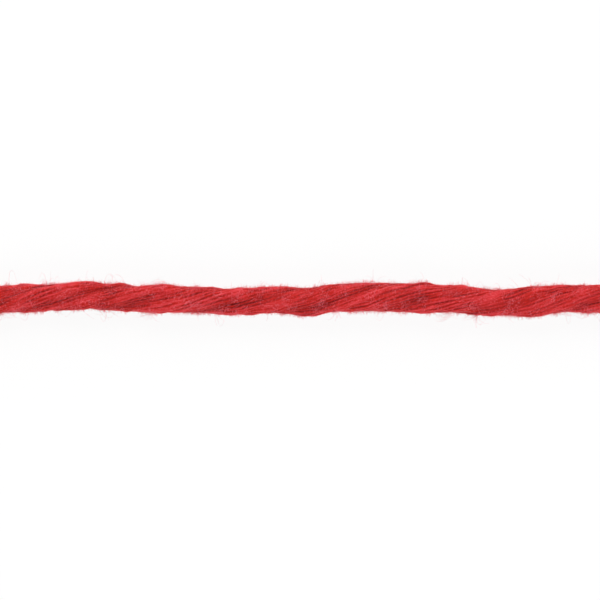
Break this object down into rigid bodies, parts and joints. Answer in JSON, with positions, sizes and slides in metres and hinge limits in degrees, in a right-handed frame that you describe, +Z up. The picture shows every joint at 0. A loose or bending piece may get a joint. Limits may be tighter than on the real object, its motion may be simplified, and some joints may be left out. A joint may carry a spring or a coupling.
{
  "type": "lead rope",
  "caption": "Soft twisted cotton lead rope with a swivel bolt snap clamped into its eye; its spare length is folded into a strapped hank.",
  "frame": {"origin": "on the ground under the middle of the whole lead rope, laid down with its spare length hanked", "axes": "+X runs along the rope from the snap to the hank, +Z is up, +Y is the side that the hank lies on"},
  "size_m": [0.9288, 0.0932, 0.0383],
  "materials": {
    "cotton_rope": "soft spun cotton yarn, dyed red, matte and slightly fuzzy",
    "whipping_twine": "waxed twine, wound tight",
    "clamp_plate": "zinc plated sheet steel, crimped",
    "strap_webbing": "woven webbing with a hook and loop face",
    "nickel_plate": "nickel plated die casting, polished",
    "spring_steel": "drawn spring wire"
  },
  "bodies": {
    "rope": {"rope_run": "cotton_rope", "rope_eye_loop": "cotton_rope", "rope_hank": "cotton_rope", "rope_tail": "cotton_rope", "end_whipping": "whipping_twine", "rope_clamp": "clamp_plate", "hank_tie": "strap_webbing"},
    "swivel": {"swivel_eye": "nickel_plate"},
    "snap": {"snap_body": "nickel_plate", "swivel_bushing": "nickel_plate", "spring_seat": "spring_steel", "bolt_spring": "spring_steel"},
    "bolt": {"snap_bolt": "nickel_plate", "thumb_stud": "nickel_plate"}
  },
  "joints": [
    {"name": "eye_swing", "type": "hinge", "parent": "rope", "child": "swivel", "pos_m": [-0.35903, -0.02545, 0.0158], "axis": [0, 0, 1], "range_deg": [-60, 60]},
    {"name": "hook_swivel", "type": "hinge", "parent": "swivel", "child": "snap", "pos_m": [-0.37208, -0.02545, 0.0158], "axis": [-0.9915, 0, -0.1303], "continuous": true},
    {"name": "bolt_slide", "type": "slide", "parent": "snap", "child": "bolt", "axis": [0.9915, 0, 0.1303], "range_m": [0, 0.013], "stiffness_N_per_m": 800, "springref_m": -0.006, "deforming": ["bolt_spring"]}
  ]
}
